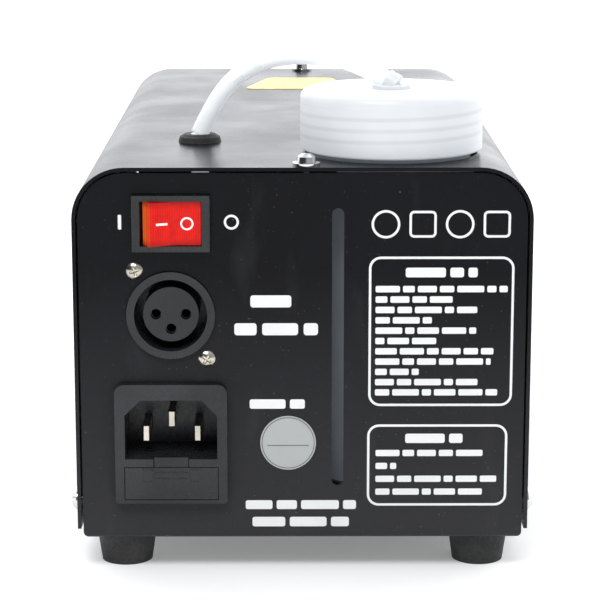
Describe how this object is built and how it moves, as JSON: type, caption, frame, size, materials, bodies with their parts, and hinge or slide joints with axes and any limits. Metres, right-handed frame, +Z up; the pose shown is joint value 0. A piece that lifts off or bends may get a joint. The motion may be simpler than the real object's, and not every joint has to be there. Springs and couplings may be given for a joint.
{
  "type": "fog machine",
  "caption": "Compact fog machine: folded black case on rubber feet, screw-capped tank with a pickup hose over the roof, mains inlet, remote socket and lit rocker on the rear, nozzle in front.",
  "frame": {"origin": "centre of the machine's outline at the level of the surface that its feet stand on", "axes": "+Y the way the fog leaves (control panel faces -Y), +Z up, +X to the right seen from the control panel"},
  "size_m": [0.126, 0.2532, 0.139],
  "materials": {
    "case_black": "semi-gloss fine powder coat",
    "rubber_black": "matt",
    "chrome": "polished",
    "nickel": "satin nickel",
    "steel": "plain steel",
    "black_plastic": "moulded, fine texture",
    "red_rocker": "translucent, gloss",
    "brass": "machined",
    "glass": "clear",
    "tank_plastic": "natural polyethylene, cloudy",
    "cap_plastic": "natural polyethylene, cloudy white",
    "hose_clear": "clear silicone, milky",
    "cast_aluminium": "cast",
    "insulation": "ceramic wool",
    "winding": "potted coil",
    "board_green": "solder mask",
    "board_parts": "moulded parts",
    "wire_cover": "wire covering",
    "label_yellow": "film",
    "label_silver": "silver grey film"
  },
  "bodies": {
    "root": {"chassis": "case_black", "cover": "case_black", "foot_rear_left": "rubber_black", "foot_rear_right": "rubber_black", "foot_front_left": "rubber_black", "foot_front_right": "rubber_black", "foot_screws": "steel", "foot_nuts": "steel", "cover_top_screws": "chrome", "cover_side_screws": "chrome", "switch_housing": "black_plastic", "switch_terminals": "brass", "remote_socket_shell": "black_plastic", "remote_socket_insert": "black_plastic", "remote_socket_contacts": "brass", "remote_socket_screws": "nickel", "inlet_housing": "black_plastic", "inlet_pins": "nickel", "round_sticker": "label_silver", "top_label": "label_yellow", "tank_bottle": "tank_plastic", "tank_cradle": "black_plastic", "supply_hose": "hose_clear", "pump_hose": "hose_clear", "hose_grommet": "rubber_black", "pump_barrel": "brass", "pump_spring": "steel", "pump_coil": "winding", "pump_yoke": "steel", "pump_brackets": "rubber_black", "pump_outlet_pipe": "steel", "heater_block": "cast_aluminium", "heater_insulation": "insulation", "heater_sleeve": "steel", "heater_posts": "steel", "nozzle": "brass", "nozzle_ring": "black_plastic", "thermostat": "board_parts", "thermal_cutout": "board_parts", "control_board": "board_green", "board_standoffs": "brass", "board_relay": "board_parts", "board_transformer": "board_parts", "board_terminals": "board_green", "board_capacitor": "board_parts", "mains_wires": "wire_cover", "heater_wires": "wire_cover", "earth_screw": "steel"},
    "rocker": {"switch_rocker": "red_rocker"},
    "drawer": {"fuse_drawer": "black_plastic", "fuse_tube": "glass", "fuse_caps": "nickel"},
    "cap_stem": {"hose_bush": "cap_plastic", "pickup_tube": "hose_clear", "pickup_filter": "brass"},
    "cap": {"tank_cap": "cap_plastic"},
    "plunger": {"pump_plunger": "steel"}
  },
  "joints": [
    {"name": "rocker_tilt", "type": "hinge", "parent": "root", "child": "rocker", "pos_m": [-0.0348, -0.11976, 0.0962], "axis": [0, 0, -1], "range_deg": [0, 22]},
    {"name": "drawer_slide", "type": "slide", "parent": "root", "child": "drawer", "axis": [0, -1, 0], "range_m": [0, 0.013]},
    {"name": "cap_lift", "type": "slide", "parent": "root", "child": "cap_stem", "axis": [0, 0, 1], "range_m": [0, 0.0045], "deforming": ["supply_hose"]},
    {"name": "cap_turn", "type": "hinge", "parent": "cap_stem", "child": "cap", "pos_m": [0.0245, -0.09337, 0.119], "axis": [0, 0, 1], "range_deg": [0, 540]},
    {"name": "plunger_stroke", "type": "slide", "parent": "root", "child": "plunger", "axis": [0, 1, 0], "range_m": [0, 0.003], "stiffness_N_per_m": 300, "springref_m": -0.003, "deforming": ["pump_spring"]}
  ],
  "couplings": [
    {"joint": "cap_turn", "follows": "cap_lift", "rad_per_m": 2094.4}
  ]
}
